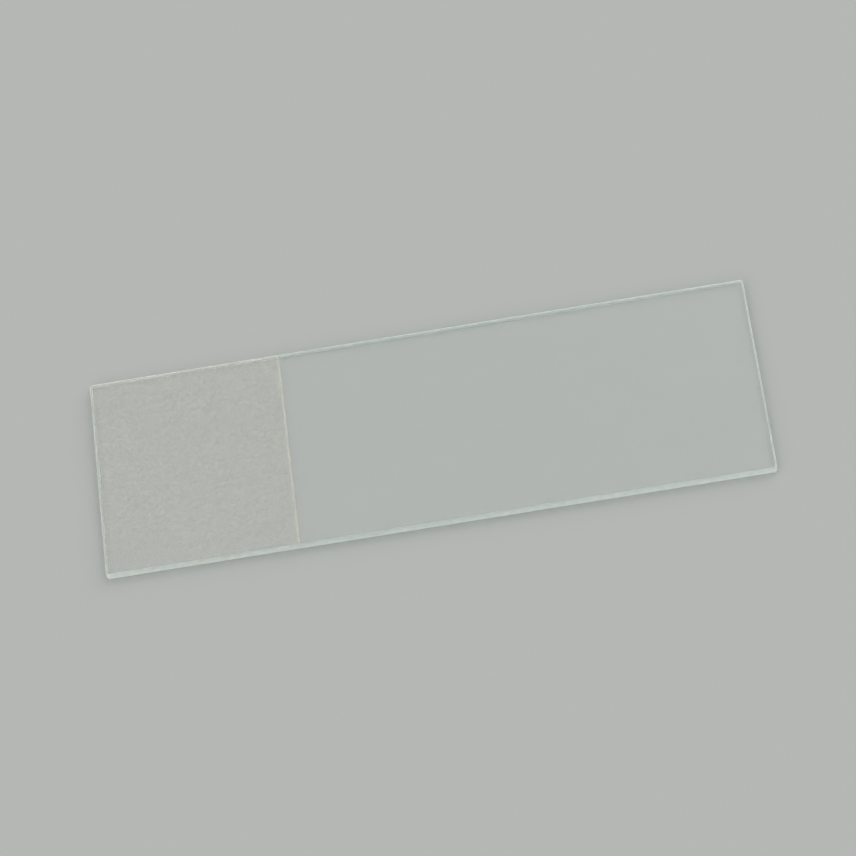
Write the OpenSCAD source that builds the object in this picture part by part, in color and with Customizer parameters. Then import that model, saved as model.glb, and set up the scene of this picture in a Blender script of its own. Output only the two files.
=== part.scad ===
// Microscope slide: one flat plate of clear glass with ground edges, frosted at one end.
//
// The slide lies flat. +X runs along its length, towards the clear end, +Y across its width and
// +Z up, out of the frosted side. The origin is the middle of the underside.

/* [Glass plate] */
// Length of the slide, from end to end
slide_length = 76.2; // [40:0.1:100]
// Width of the slide, from long edge to long edge
slide_width = 25.4; // [20:0.1:55]
// Thickness of the glass
slide_thickness = 1.1; // [0.8:0.05:1.5]

/* [Ground edges] */
// Width that the bevel takes off each face, all the way round
bevel_width = 0.22; // [0.05:0.01:0.3]
// Leg of the small flat ground on each upright corner
corner_leg = 0.25; // [0.1:0.05:2]

/* [Frosted end] */
// Length of the frosted field, from the end of the slide to its inner border
frost_length = 22.2; // [10:0.1:35]
// Depth of glass that the frosting takes off the upper face
frost_depth = 0.01; // [0.005:0.005:0.04]

/* [Hidden] */

// Distance between the flats on opposite corners, square to them
corner_span = (slide_length + slide_width - 2 * corner_leg) / sqrt(2);

// How far a cutting solid runs past the glass, so that no two of their faces coincide
overrun = 1;
// Length of a bar that is longer than the slide in any direction
bar_length = 2 * (slide_length + slide_width);

glass_color = [0.80, 0.88, 0.83, 0.55];

// Section of the plate between two opposite ground sides: flat top and bottom, upright
// sides, and a 45 degree bevel at each of the four corners.
function ground_section(span) =
    let (side = span / 2, face = side - bevel_width, top = slide_thickness)
    [
        [-face, 0], [face, 0],
        [side, bevel_width], [side, top - bevel_width],
        [face, top], [-face, top],
        [-side, top - bevel_width], [-side, bevel_width]
    ];

// A long flat bar with that section. Its two ground sides face along the given direction.
module ground_bar(span, direction) {
    rotate([90, 0, direction])
        linear_extrude(height = bar_length, center = true)
            polygon(ground_section(span));
}

// The plate with all its edges ground: what is inside every pair of ground sides.
module ground_plate() {
    intersection() {
        ground_bar(slide_length, 0);
        ground_bar(slide_width, 90);
        ground_bar(corner_span, 45);
        ground_bar(corner_span, -45);
    }
}

// The layer of glass that the frosting takes off the upper face at the left end. It runs
// out over that end and over both long edges, as the frosted field does.
module frosted_layer() {
    translate([
        -slide_length / 2 - overrun,
        -slide_width / 2 - overrun,
        slide_thickness - frost_depth
    ])
        cube([frost_length + overrun, slide_width + 2 * overrun, frost_depth + overrun]);
}

// The whole slide, one piece of glass.
module glass_slide() {
    color(glass_color)
        difference() {
            ground_plate();
            frosted_layer();
        }
}

glass_slide();
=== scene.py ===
"""Looks of a microscope slide: a clear glass plate with ground edges and a frosted end.

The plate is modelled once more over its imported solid, with eased and slightly uneven ground edges,
and dressed in one glass whose polished, frosted and ground surfaces are told apart by place.
"""

import logging
import math
from dataclasses import dataclass, field
from enum import Enum
from typing import Any, Union

import bmesh
import bpy
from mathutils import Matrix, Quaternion, Vector, noise


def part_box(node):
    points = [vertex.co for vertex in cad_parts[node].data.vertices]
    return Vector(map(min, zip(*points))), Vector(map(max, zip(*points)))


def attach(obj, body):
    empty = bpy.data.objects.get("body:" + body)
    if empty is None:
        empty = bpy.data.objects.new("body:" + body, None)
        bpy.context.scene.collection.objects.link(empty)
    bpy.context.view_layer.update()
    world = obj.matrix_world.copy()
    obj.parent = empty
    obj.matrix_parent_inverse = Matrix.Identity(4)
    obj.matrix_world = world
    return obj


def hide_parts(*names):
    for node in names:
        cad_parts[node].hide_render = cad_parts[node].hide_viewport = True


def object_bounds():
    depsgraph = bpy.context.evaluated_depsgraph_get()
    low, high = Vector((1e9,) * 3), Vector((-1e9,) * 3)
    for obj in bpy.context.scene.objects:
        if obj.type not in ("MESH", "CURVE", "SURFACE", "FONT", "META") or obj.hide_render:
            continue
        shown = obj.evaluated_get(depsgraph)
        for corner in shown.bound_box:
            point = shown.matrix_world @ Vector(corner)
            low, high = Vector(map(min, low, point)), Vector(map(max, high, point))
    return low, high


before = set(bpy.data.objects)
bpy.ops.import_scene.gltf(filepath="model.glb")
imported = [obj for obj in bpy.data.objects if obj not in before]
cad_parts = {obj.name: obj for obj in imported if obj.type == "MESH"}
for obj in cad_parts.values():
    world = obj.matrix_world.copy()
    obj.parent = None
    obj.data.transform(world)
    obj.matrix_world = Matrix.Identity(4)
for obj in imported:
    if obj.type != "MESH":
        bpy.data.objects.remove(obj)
CAD_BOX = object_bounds()

NODE = "glass_slide"
SLOT = "slide_glass"
MM = 0.001
BEVEL_ANGLE = 45.0

# The mean of a smooth step, and the mean of the step times how far along it each place is
STEP_MEAN = 1 / 2
STEP_LEAN = 7 / 20
# How much of a sky's growth towards the top reaches a level floor
SKY_SHARE = 2 / 3

Colour = tuple[float, float, float]
Span = tuple[float, float]
Outline = list[tuple[int, int]]
log = logging.getLogger("microscope_slide")


class Glow(Enum):
    """Where each soft studio light stands: degrees round from the front, and above the floor."""

    KEY = (-38.0, 38.0)
    BACK = (130.0, 26.0)


def direction(azimuth: float, elevation: float) -> Vector:
    """Points from the slide to a light or the camera.

    Args:
        azimuth: Degrees round from the front, towards the clear end.
        elevation: Degrees above the floor.

    Returns:
        A direction of length 1.
    """
    turn, rise = math.radians(azimuth), math.radians(elevation)
    flat = math.cos(rise)
    return Vector((math.sin(turn) * flat, -math.cos(turn) * flat, math.sin(rise)))


class Value:
    """A number that varies over a surface. Arithmetic on it adds the Math nodes."""

    def __init__(self, graph: "Graph", socket: bpy.types.NodeSocket) -> None:
        """Wraps a node's output.

        Args:
            graph: The graph that the socket belongs to.
            socket: The output to read.
        """
        self.graph = graph
        self.socket = socket

    def __add__(self, other: "Number") -> "Value":
        """Adds a number or another value."""
        return self.graph.maths("ADD", self, other)

    def __radd__(self, other: "Number") -> "Value":
        """Adds to a plain number."""
        return self.graph.maths("ADD", other, self)

    def __sub__(self, other: "Number") -> "Value":
        """Takes away a number or another value."""
        return self.graph.maths("SUBTRACT", self, other)

    def __rsub__(self, other: "Number") -> "Value":
        """Takes this value from a plain number."""
        return self.graph.maths("SUBTRACT", other, self)

    def __mul__(self, other: "Number") -> "Value":
        """Multiplies by a number or another value."""
        return self.graph.maths("MULTIPLY", self, other)

    def __rmul__(self, other: "Number") -> "Value":
        """Multiplies a plain number."""
        return self.graph.maths("MULTIPLY", other, self)

    def between(self, low: float, high: float) -> "Value":
        """Gives a smooth step.

        Args:
            low: Where the step leaves 0.
            high: Where the step reaches 1. Below low, the step falls instead of rising.

        Returns:
            A value from 0 to 1.
        """
        rises = high > low
        step = self.graph.node(
            "ShaderNodeMapRange",
            {"interpolation_type": "SMOOTHSTEP"},
            {
                "Value": self,
                "From Min": min(low, high),
                "From Max": max(low, high),
                "To Min": 0.0 if rises else 1.0,
                "To Max": 1.0 if rises else 0.0,
            },
        )
        return Value(self.graph, step.outputs["Result"])

    def step(self, origin: float, span: Span) -> "Value":
        """Gives a smooth step over a span that is measured from an origin."""
        return self.between(origin + span[0], origin + span[1])

    def swing(self, strength: float) -> "Value":
        """Gives how far a noise swings from its middle, times the strength."""
        return strength * (self - 0.5)


Number = Union[float, Value]


class Graph:
    """The node graph of one material, or of the world."""

    def __init__(self, tree: bpy.types.NodeTree) -> None:
        """Empties the tree, ready for new nodes.

        Args:
            tree: The tree to fill.
        """
        self.tree = tree
        tree.nodes.clear()

    def node(self, kind: str, settings: dict[str, Any], inputs: dict[Any, Any]) -> bpy.types.Node:
        """Adds any node.

        Args:
            kind: The node's type.
            settings: Its properties, set before its sockets.
            inputs: Its sockets by name or number, each a plain value, a Value or an output.

        Returns:
            The new node.
        """
        made = self.tree.nodes.new(kind)
        for name, setting in settings.items():
            setattr(made, name, setting)
        for name, given in inputs.items():
            if isinstance(given, Value):
                self.tree.links.new(given.socket, made.inputs[name])
            elif isinstance(given, bpy.types.NodeSocket):
                self.tree.links.new(given, made.inputs[name])
            else:
                made.inputs[name].default_value = given
        return made

    def maths(self, operation: str, left: Number, right: Number) -> Value:
        """Joins two numbers by a Math node.

        Args:
            operation: The node's operation.
            left: Its first number.
            right: Its second number.

        Returns:
            The result.
        """
        made = self.node("ShaderNodeMath", {"operation": operation}, {0: left, 1: right})
        return Value(self, made.outputs[0])

    def vector(self, operation: str, left: Any, right: Any) -> bpy.types.NodeSocket:
        """Joins two vectors by a Vector Math node.

        Args:
            operation: The node's operation.
            left: Its first vector.
            right: Its second vector.

        Returns:
            The result.
        """
        made = self.node("ShaderNodeVectorMath", {"operation": operation}, {0: left, 1: right})
        return made.outputs[0]

    def facing(self, way: Any, toward: Vector) -> Value:
        """Tells how nearly a direction points one way.

        Args:
            way: The direction.
            toward: The way to compare it with, of length 1.

        Returns:
            The cosine of the angle between them.
        """
        inputs = {0: way, 1: tuple(toward)}
        made = self.node("ShaderNodeVectorMath", {"operation": "DOT_PRODUCT"}, inputs)
        return Value(self, made.outputs["Value"])

    def background(self, colour: Colour, strength: Number) -> bpy.types.NodeSocket:
        """Lights the world.

        Args:
            colour: The light's colour.
            strength: Its strength.

        Returns:
            The shader's output.
        """
        inputs = {"Color": (*colour, 1.0), "Strength": strength}
        return self.node("ShaderNodeBackground", {}, inputs).outputs[0]

    def mixed(self, share: Number, first: Any, second: Any) -> bpy.types.NodeSocket:
        """Mixes two shaders.

        Args:
            share: How much of the second shader shows.
            first: The shader at 0.
            second: The shader at 1.

        Returns:
            The mixed shader.
        """
        return self.node("ShaderNodeMixShader", {}, {0: share, 1: first, 2: second}).outputs[0]


@dataclass(frozen=True)
class Texture:
    """A noise that lies over the glass.

    per_mm is how many of its grains there are to a millimetre along each axis, detail how many
    finer layers lie on them, and layering how strong each layer is beside the one before it.
    """

    per_mm: tuple[float, float, float]
    detail: float
    layering: float = 0.6

    def over(self, graph: Graph, place: Any) -> Value:
        """Lays the noise over a surface.

        Args:
            graph: The graph to build in.
            place: The place on the surface, in millimetres.

        Returns:
            A value near 0.5, from 0 to 1.
        """
        inputs = {
            "Vector": graph.vector("MULTIPLY", place, self.per_mm),
            "Scale": 1.0,
            "Detail": self.detail,
            "Roughness": self.layering,
        }
        made = graph.node("ShaderNodeTexNoise", {"noise_dimensions": "3D"}, inputs)
        return Value(graph, made.outputs[0])


@dataclass(frozen=True)
class Surface:
    """One way that the glass is roughened.

    roughness is the width of its highlights, haze the share of light that it scatters, onward the
    share of that which goes on through the surface, white the colour that it scatters, and height
    that of its texture in millimetres.
    """

    roughness: float
    haze: float
    onward: float
    white: Colour
    height: float

    def scatter(self, graph: Graph, relief: bpy.types.NodeSocket) -> bpy.types.NodeSocket:
        """Builds what the surface scatters.

        Args:
            graph: The graph to build in.
            relief: The normal of its texture.

        Returns:
            The shader's output.
        """
        inputs = {"Color": (*self.white, 1.0), "Normal": relief}
        back = graph.node("ShaderNodeBsdfDiffuse", {}, inputs)
        through = graph.node("ShaderNodeBsdfTranslucent", {}, inputs)
        return graph.mixed(self.onward, back.outputs[0], through.outputs[0])


@dataclass(frozen=True)
class Borders:
    """Where each kind of surface gives way to the next, in millimetres.

    A span runs from where a step leaves 0 to where it reaches 1. field_level is measured from the
    height of the frosted field, field_end and last_strip from its border along the slide, and
    underside from the lower face. side is measured from either face, in widths of the bevel.
    wander is how far the frosted field's border strays in all.
    """

    field_level: Span = (-0.003, -0.002)
    field_end: Span = (0.02, -0.02)
    last_strip: Span = (-0.4, -0.1)
    underside: Span = (0.001, 0.003)
    side: Span = (0.5, 1.3)
    wander: float = 0.05


@dataclass(frozen=True)
class SlideGlassFinish:
    """The glass of the slide, with its three kinds of surface.

    drift, mottle, grain and strokes are its noises, from the broadest to the finest, and waver
    frays the frosted field's border. frost_ or ground_ before a noise's name says how strongly it
    swings that surface's haze, and before sheen how strongly grain or strokes swing its roughness.
    bevel_haze is the bevels' haze as a share of the sides', and border_haze what the last strip of
    the frosted field adds to its haze, as a share of it. The volume is written denser than its
    strongest loss, headroom times over, so that no part of its colour is 0.
    """

    frosted: Surface = Surface(
        roughness=0.18, haze=0.1, onward=0.0, white=(0.8, 0.73, 0.62), height=0.02
    )
    ground: Surface = Surface(
        roughness=0.9, haze=0.95, onward=0.5, white=(0.975, 0.985, 0.975), height=0.012
    )
    borders: Borders = Borders()
    drift: Texture = Texture((0.16, 0.16, 0.16), 1.0)
    mottle: Texture = Texture((1.3, 1.3, 1.3), 3.0)
    waver: Texture = Texture((3.0, 3.0, 3.0), 2.0)
    grain: Texture = Texture((4.0, 4.0, 4.0), 3.0)
    strokes: Texture = Texture((1.2, 1.2, 22.0), 2.0)
    frost_drift: float = 1.2
    frost_mottle: float = 1.6
    frost_grain: float = 5.0
    frost_sheen: float = 0.2
    ground_mottle: float = 0.5
    ground_strokes: float = 0.6
    ground_sheen: float = 0.3
    bevel_haze: float = 0.35
    border_haze: float = 1.8
    clear_colour: Colour = (0.995, 1.0, 0.998)
    refraction: float = 1.52
    lost_per_metre: Colour = (10.0, 3.2, 6.2)
    headroom: float = 1.25

    def material(self, plate: "SlidePlate") -> bpy.types.Material:
        """Builds the material.

        Args:
            plate: The plate that wears it, for the places of its surfaces.

        Returns:
            The new material.
        """
        made = bpy.data.materials.new(SLOT)
        made.use_nodes = True
        graph = Graph(made.node_tree)
        spot = graph.node("ShaderNodeTexCoord", {}, {}).outputs["Object"]
        place = graph.vector("MULTIPLY", spot, (1 / MM,) * 3)
        axes = graph.node("ShaderNodeSeparateXYZ", {}, {0: place}).outputs
        along, up = Value(graph, axes["X"]), Value(graph, axes["Z"])

        frosted, last_strip, ground, side = self.zones(graph, plate, place, along, up)
        drift = self.drift.over(graph, place)
        mottle = self.mottle.over(graph, place)
        grain = self.grain.over(graph, place)
        strokes = self.strokes.over(graph, place)
        cloud = (
            1
            + drift.swing(self.frost_drift)
            + mottle.swing(self.frost_mottle)
            + grain.swing(self.frost_grain)
        )
        streak = 1 + mottle.swing(self.ground_mottle) + strokes.swing(self.ground_strokes)

        frost_haze = frosted * self.frosted.haze * (cloud + self.border_haze * last_strip)
        side_share = self.bevel_haze + (1 - self.bevel_haze) * side
        ground_haze = ground * self.ground.haze * side_share * streak
        frost_roughness = frosted * self.frosted.roughness * (1 + grain.swing(self.frost_sheen))
        ground_roughness = ground * self.ground.roughness * (1 + strokes.swing(self.ground_sheen))
        height = frosted * self.frosted.height * grain + ground * self.ground.height * strokes
        relief = graph.node(
            "ShaderNodeBump", {}, {"Strength": 1.0, "Distance": MM, "Height": height}
        ).outputs["Normal"]

        glass = graph.node(
            "ShaderNodeBsdfPrincipled",
            {},
            {
                "Base Color": (*self.clear_colour, 1.0),
                "Roughness": frost_roughness + ground_roughness,
                "IOR": self.refraction,
                "Transmission Weight": 1.0,
                "Normal": relief,
            },
        )
        edged = graph.mixed(ground_haze, glass.outputs[0], self.ground.scatter(graph, relief))
        surface = graph.mixed(frost_haze, edged, self.frosted.scatter(graph, relief))
        graph.node(
            "ShaderNodeOutputMaterial", {}, {"Surface": surface, "Volume": self.tint(graph)}
        )
        return made

    def zones(
        self, graph: Graph, plate: "SlidePlate", place: Any, along: Value, up: Value
    ) -> tuple[Value, Value, Value, Value]:
        """Tells the frosted field and the ground edges from the polished faces.

        Args:
            graph: The graph to build in.
            plate: The plate that wears the material.
            place: The place on the surface, in millimetres.
            along: Its distance along the slide, in millimetres.
            up: Its height, in millimetres.

        Returns:
            The masks of the frosted field, its last strip by the clear face, the ground edges, and
            their sides between the bevels.
        """
        top, border = plate.thickness / MM, plate.frost_border / MM
        reach = along + self.waver.over(graph, place).swing(self.borders.wander)
        on_top = up.step(top - plate.frost_depth / MM, self.borders.field_level)
        frosted = on_top * reach.step(border, self.borders.field_end)
        last_strip = reach.step(border, self.borders.last_strip)
        ground = (1 - on_top) * up.step(0.0, self.borders.underside)
        start, end = (share * plate.bevel / MM for share in self.borders.side)
        side = up.between(start, end) * up.between(top - start, top - end)
        return frosted, last_strip, ground, side

    def tint(self, graph: Graph) -> bpy.types.NodeSocket:
        """Colours the glass through its depth.

        Args:
            graph: The graph to build in.

        Returns:
            The volume shader's output.
        """
        density = self.headroom * max(self.lost_per_metre)
        kept = [1 - lost / density for lost in self.lost_per_metre]
        inputs = {"Color": (*kept, 1.0), "Density": density}
        return graph.node("ShaderNodeVolumeAbsorption", {}, inputs).outputs[0]


@dataclass
class SlidePlate:
    """The glass plate, in metres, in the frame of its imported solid.

    The lines of its faces lie about a pitch apart, and step_run is the length of the slope down
    into the frosted field. easing is the radius between a side and its bevels, drawn in
    easing_steps, and bevel_split and side_split are where one more ring divides each of them.
    Grinding takes up to arris_wander or side_wander off, in waves as long as fine_wave and
    broad_wave, and fine_share of it is in the fine ones.
    """

    length: float
    width: float
    thickness: float
    bevel: float
    corner_leg: float
    frost_border: float
    frost_depth: float
    pitch: float = 0.5 * MM
    step_run: float = 0.02 * MM
    easing: float = 0.12 * MM
    easing_steps: int = 3
    bevel_split: float = 0.65
    side_split: float = 0.35
    arris_wander: float = 0.02 * MM
    side_wander: float = 0.006 * MM
    fine_wave: float = 0.9 * MM
    broad_wave: float = 6.0 * MM
    fine_share: float = 0.6
    finish: SlideGlassFinish = field(default_factory=SlideGlassFinish)

    @classmethod
    def from_frame(cls, node: str) -> "SlidePlate":
        """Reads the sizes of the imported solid.

        Args:
            node: The solid's name.

        Returns:
            A plate of those sizes.
        """
        low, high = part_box(node)
        near = 0.001 * MM
        corners = [vertex.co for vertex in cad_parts[node].data.vertices]
        clear = [spot for spot in corners if high.z - spot.z < near]
        lower = [spot for spot in corners if high.z - spot.z > near]
        side = [spot for spot in corners if spot.y - low.y < near]
        return cls(
            length=high.x - low.x,
            width=high.y - low.y,
            thickness=high.z - low.z,
            bevel=high.y - max(spot.y for spot in clear),
            corner_leg=high.x - max(spot.x for spot in side),
            frost_border=min(spot.x for spot in clear),
            frost_depth=high.z - max(spot.z for spot in lower),
        )

    def lines(self, reach: float, stops: tuple[float, ...] = ()) -> list[float]:
        """Sets out the lattice lines across a face, in one direction.

        Args:
            reach: Half the face's extent.
            stops: Places between the ends that must each have a line.

        Returns:
            The places of the lines, in order.
        """
        # A corner's flat is shorter on the face than on the side, since all the bevels slope in.
        leg = self.corner_leg - self.bevel * (2 - math.sqrt(2))
        marks = [leg - reach, *stops, reach - leg]
        places = [-reach]
        for start, end in zip(marks, marks[1:]):
            count = max(1, round((end - start) / self.pitch))
            places += [start + (end - start) * step / count for step in range(count)]
        return places + [reach - leg, reach]

    def drop(self, x: float) -> float:
        """Gives how far the upper face lies below the polished level at x."""
        run = (self.frost_border - x) / self.step_run
        return self.frost_depth * min(1.0, max(0.0, run))

    def profile(self) -> list[tuple[float, float]]:
        """Draws the ground edge in section, from the arris down to half the thickness.

        Returns:
            Points as the distance in from the side and the distance down from the upper face.
        """
        start = self.bevel + self.easing * math.tan(math.radians(BEVEL_ANGLE / 2))
        bevel = [(self.bevel * share, self.bevel * (1 - share)) for share in (1.0, self.bevel_split)]
        curve = []
        for step in range(self.easing_steps + 1):
            turn = math.radians(BEVEL_ANGLE - BEVEL_ANGLE / self.easing_steps * step)
            inset = self.easing * (1 - math.cos(turn))
            curve.append((inset, start - self.easing * math.sin(turn)))
        rest = self.thickness / 2 - start
        side = [(0.0, start + rest * share) for share in (self.side_split, 1.0)]
        return bevel + curve + side

    def rim(self, xs: list[float], ys: list[float]) -> Outline:
        """Lists the lattice points round the edge of a face, anticlockwise from above."""
        last_x, last_y = len(xs) - 1, len(ys) - 1
        front = [(column, 0) for column in range(last_x)]
        right = [(last_x, row) for row in range(last_y)]
        back = [(column, last_y) for column in range(last_x, 0, -1)]
        left = [(0, row) for row in range(last_y, 0, -1)]
        return front + right + back + left

    def rim_point(
        self, xs: list[float], ys: list[float], at: tuple[int, int], inset: float
    ) -> tuple[float, float]:
        """Places a point of the rim in plan.

        Args:
            xs: The lattice lines across the length.
            ys: The lattice lines across the width.
            at: The point's column and row.
            inset: How far in from the outermost outline it lies.

        Returns:
            Its x and y.
        """
        half_x, half_y = self.length / 2, self.width / 2
        diagonal = half_x + half_y - self.corner_leg - math.sqrt(2) * inset
        flat_x, flat_y = diagonal - (half_y - inset), diagonal - (half_x - inset)
        column, row = at
        x, y = xs[column], ys[row]
        sign_x, sign_y = math.copysign(1, x), math.copysign(1, y)
        at_end = column in (0, len(xs) - 1)
        at_side = row in (0, len(ys) - 1)
        if at_end and at_side:
            return sign_x * (half_x - inset + flat_x) / 2, sign_y * (half_y - inset + flat_y) / 2
        if at_end:
            by_corner = row in (1, len(ys) - 2)
            return sign_x * (half_x - inset), sign_y * flat_y if by_corner else y
        by_corner = column in (1, len(xs) - 2)
        return sign_x * flat_x if by_corner else x, sign_y * (half_y - inset)

    def build(self) -> bpy.types.Object:
        """Builds the plate as one closed mesh.

        Returns:
            The new object, linked to the scene.
        """
        reach_x, reach_y = self.length / 2 - self.bevel, self.width / 2 - self.bevel
        step = (self.frost_border - self.step_run, self.frost_border)
        xs, ys = self.lines(reach_x, step), self.lines(reach_y)
        mesh = bmesh.new()
        rim = self.rim(xs, ys)
        rings = self.edge_rings(mesh, xs, ys, rim)
        for upper, lower in zip(rings, rings[1:]):
            for first, second in zip(range(len(rim)), [*range(1, len(rim)), 0]):
                mesh.faces.new((upper[second], upper[first], lower[first], lower[second]))
        self.flat_face(mesh, xs, ys, dict(zip(rim, rings[0])), top=True)
        self.flat_face(mesh, xs, ys, dict(zip(rim, rings[-1])), top=False)
        bmesh.ops.recalc_face_normals(mesh, faces=mesh.faces)
        self.shade(mesh)
        data = bpy.data.meshes.new("slide_plate")
        mesh.to_mesh(data)
        mesh.free()
        piece = bpy.data.objects.new("slide_plate", data)
        bpy.context.scene.collection.objects.link(piece)
        return piece

    def edge_rings(
        self, mesh: bmesh.types.BMesh, xs: list[float], ys: list[float], rim: Outline
    ) -> list[list[bmesh.types.BMVert]]:
        """Makes the rings of points that run round the ground edge, from the top face down.

        Args:
            mesh: The mesh to add to.
            xs: The lattice lines across the length.
            ys: The lattice lines across the width.
            rim: The lattice points round the edge of a face, in order.

        Returns:
            One list of vertices for each ring.
        """
        upper = self.profile()
        levels = [(inset, down, True) for inset, down in upper]
        levels += [(inset, down, False) for inset, down in reversed(upper[:-1])]
        rings = []
        for inset, down, from_top in levels:
            ring = []
            for at in rim:
                drop = self.drop(xs[at[0]]) if from_top and down < self.frost_depth else 0.0
                height = self.thickness - down - drop if from_top else down
                x, y = self.rim_point(xs, ys, at, inset - drop)
                inward = self.unevenness(Vector((x, y, height)), inset / self.bevel)
                x, y = self.rim_point(xs, ys, at, inset - drop + inward)
                ring.append(mesh.verts.new((x, y, height)))
            rings.append(ring)
        return rings

    def unevenness(self, spot: Vector, share: float) -> float:
        """Gives how far grinding has left a point of the edge inside its nominal place.

        Args:
            spot: The point.
            share: 0 on the side, 1 on the arris.

        Returns:
            A distance inwards, from 0 up.
        """
        fine = (1 + noise.noise(spot / self.fine_wave)) / 2
        broad = (1 + noise.noise(spot / self.broad_wave)) / 2
        reach = self.side_wander + (self.arris_wander - self.side_wander) * share
        depth = self.fine_share * fine + (1 - self.fine_share) * broad
        return reach * min(1.0, max(0.0, depth))

    def flat_face(
        self,
        mesh: bmesh.types.BMesh,
        xs: list[float],
        ys: list[float],
        edge: dict[tuple[int, int], bmesh.types.BMVert],
        top: bool,
    ) -> None:
        """Fills one flat face with a lattice of quads inside its rim.

        Args:
            mesh: The mesh to add to.
            xs: The lattice lines across the length.
            ys: The lattice lines across the width.
            edge: The rim's vertices by column and row.
            top: Whether this is the upper face, which has the frosted step.
        """
        points = dict(edge)
        for column in range(1, len(xs) - 1):
            for row in range(1, len(ys) - 1):
                height = self.thickness - self.drop(xs[column]) if top else 0.0
                points[column, row] = mesh.verts.new((xs[column], ys[row], height))
        for column in range(len(xs) - 1):
            for row in range(len(ys) - 1):
                corners = [
                    points[column, row],
                    points[column + 1, row],
                    points[column + 1, row + 1],
                    points[column, row + 1],
                ]
                mesh.faces.new(corners if top else corners[::-1])

    def shade(self, mesh: bmesh.types.BMesh, sharpest: float = 20.0) -> None:
        """Shades the mesh smooth, with a crisp line where two faces meet at an angle.

        Args:
            mesh: The mesh to shade.
            sharpest: The largest angle, in degrees, that still reads as smooth.
        """
        for face in mesh.faces:
            face.smooth = True
        for edge in mesh.edges:
            edge.smooth = edge.calc_face_angle(0.0) < math.radians(sharpest)

    def dress(self, piece: bpy.types.Object) -> None:
        """Gives the plate its glass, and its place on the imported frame.

        Args:
            piece: The plate's object.
        """
        piece.data.materials.append(self.finish.material(self))
        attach(piece, "root")
        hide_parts(NODE)


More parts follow.
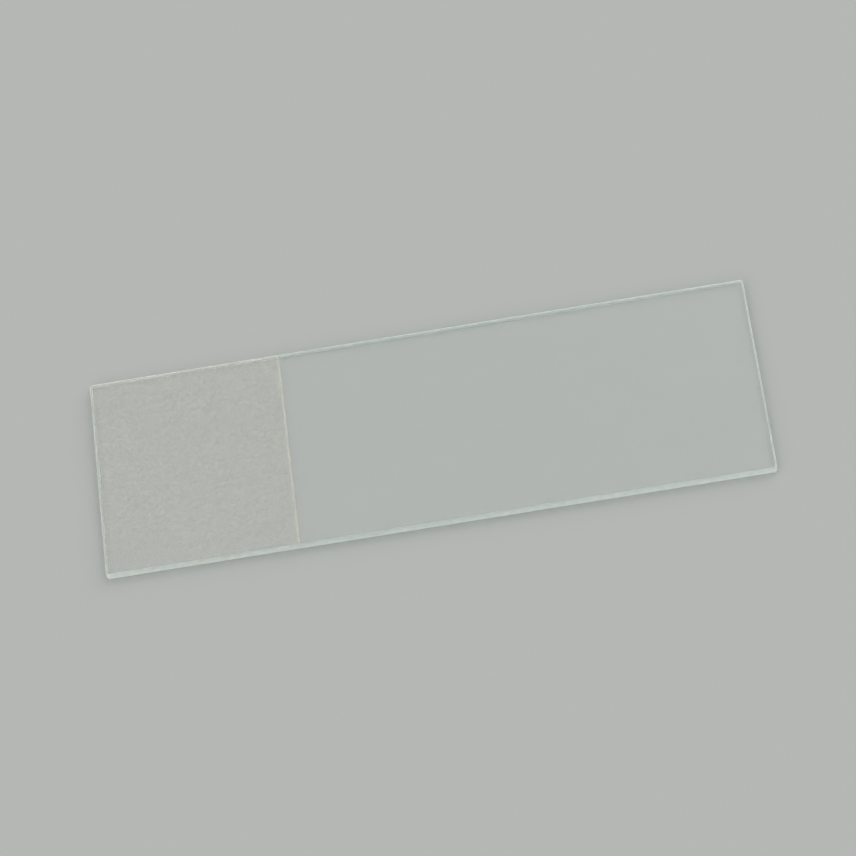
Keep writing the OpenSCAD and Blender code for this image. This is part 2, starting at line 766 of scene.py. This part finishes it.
@dataclass
class Studio:
    """The floor, the lights and the camera, in metres and degrees.

    pale is the colour of the floor and of the surroundings, which grow lighter by sky_rise from the
    horizon to the top. softness is how wide each glow is, and key_share how much of the light that
    the sky leaves wanting comes from the key. The camera sees from nearest to farthest, and lens
    is its length in millimetres.
    """

    pale: Colour = (0.46, 0.47, 0.46)
    sky_rise: float = 0.75
    floor_radius: float = 4.0
    floor_segments: int = 96
    floor_gap: float = 0.05 * MM
    key_share: float = 0.5
    softness: float = 100.0
    bounces: int = 24
    azimuth: float = 4.8
    elevation: float = 59.1
    distance: float = 0.459
    roll: float = -13.3
    lens: float = 170.0
    nearest: float = 0.01
    farthest: float = 50.0

    def floor(self) -> bpy.types.Object:
        """Lays the floor, a hair below the slide.

        Returns:
            The floor's object.
        """
        mesh = bmesh.new()
        bmesh.ops.create_circle(
            mesh, cap_ends=True, segments=self.floor_segments, radius=self.floor_radius
        )
        data = bpy.data.meshes.new("floor")
        mesh.to_mesh(data)
        mesh.free()
        made = bpy.data.objects.new("floor", data)
        made.location.z = CAD_BOX[0].z - self.floor_gap
        bpy.context.scene.collection.objects.link(made)
        finish = bpy.data.materials.new("pale_floor")
        finish.use_nodes = True
        graph = Graph(finish.node_tree)
        matt = graph.node("ShaderNodeBsdfDiffuse", {}, {"Color": (*self.pale, 1.0)})
        graph.node("ShaderNodeOutputMaterial", {}, {"Surface": matt.outputs[0]})
        data.materials.append(finish)
        return made

    def surroundings(self) -> None:
        """Surrounds the scene with the floor's own colour, and lights it with two soft glows.

        The sky meets the floor without a seam, because the glows light things unseen.
        """
        world = bpy.data.worlds.new("surroundings")
        world.use_nodes = True
        graph = Graph(world.node_tree)
        way = graph.node("ShaderNodeTexCoord", {}, {}).outputs["Generated"]
        height = graph.maths("MAXIMUM", graph.facing(way, Vector((0.0, 0.0, 1.0))), 0.0)
        sky = graph.background(self.pale, 1 + self.sky_rise * height)
        seen = Value(graph, graph.node("ShaderNodeLightPath", {}, {}).outputs["Is Camera Ray"])
        key = self.glow(graph, way, Glow.KEY, self.key_share)
        back = self.glow(graph, way, Glow.BACK, 1 - self.key_share)
        glows = graph.background((1.0, 1.0, 1.0), (key + back) * (1 - seen))
        both = graph.node("ShaderNodeAddShader", {}, {0: sky, 1: glows})
        graph.node("ShaderNodeOutputWorld", {}, {"Surface": both.outputs[0]})
        bpy.context.scene.world = world

    def glow(self, graph: Graph, way: Any, glow: Glow, share: float) -> Value:
        """Gives the strength of one glow, which fades out evenly to its rim.

        Args:
            graph: The world's graph.
            way: The direction that is looked in.
            glow: Which glow it is.
            share: Its share of what the floor lacks from the sky to render as its colour is written.

        Returns:
            The strength in that direction.
        """
        lacking = 1 - sum(self.pale) / len(self.pale) * (1 + self.sky_rise * SKY_SHARE)
        toward = direction(*glow.value)
        rim = math.cos(math.radians(self.softness / 2))
        gathered = (1 - rim) * (STEP_MEAN * rim + STEP_LEAN * (1 - rim))
        peak = lacking * share / (2 * gathered * toward.z)
        return peak * graph.facing(way, toward).between(rim, 1.0)

    def camera(self) -> bpy.types.Object:
        """Stands the camera where it sees the slide from above its near edge.

        Returns:
            The camera's object.
        """
        back = direction(self.azimuth, self.elevation)
        data = bpy.data.cameras.new("camera")
        data.lens = self.lens
        data.clip_start = self.nearest
        data.clip_end = self.farthest
        made = bpy.data.objects.new("camera", data)
        made.location = (CAD_BOX[0] + CAD_BOX[1]) / 2 + back * self.distance
        made.rotation_mode = "QUATERNION"
        level = back.to_track_quat("Z", "Y")
        made.rotation_quaternion = level @ Quaternion((0, 0, 1), math.radians(self.roll))
        bpy.context.scene.collection.objects.link(made)
        bpy.context.scene.camera = made
        return made

    def settings(self) -> None:
        """Shows colours as written, and lets light run along inside the glass."""
        scene = bpy.context.scene
        scene.view_settings.view_transform = "Standard"
        scene.cycles.blur_glossy = 0.0
        scene.cycles.max_bounces = self.bounces
        scene.cycles.glossy_bounces = self.bounces
        scene.cycles.transmission_bounces = self.bounces


def main() -> None:
    """Builds the slide, and the studio round it."""
    logging.basicConfig(level=logging.INFO, format="%(name)s: %(message)s")
    studio = Studio()
    studio.settings()
    studio.surroundings()
    studio.camera()
    log.info("laid %s", studio.floor().name)
    plate = SlidePlate.from_frame(NODE)
    piece = plate.build()
    plate.dress(piece)
    log.info("built %s with %d faces", piece.name, len(piece.data.polygons))


if __name__ == "__main__":
    main()
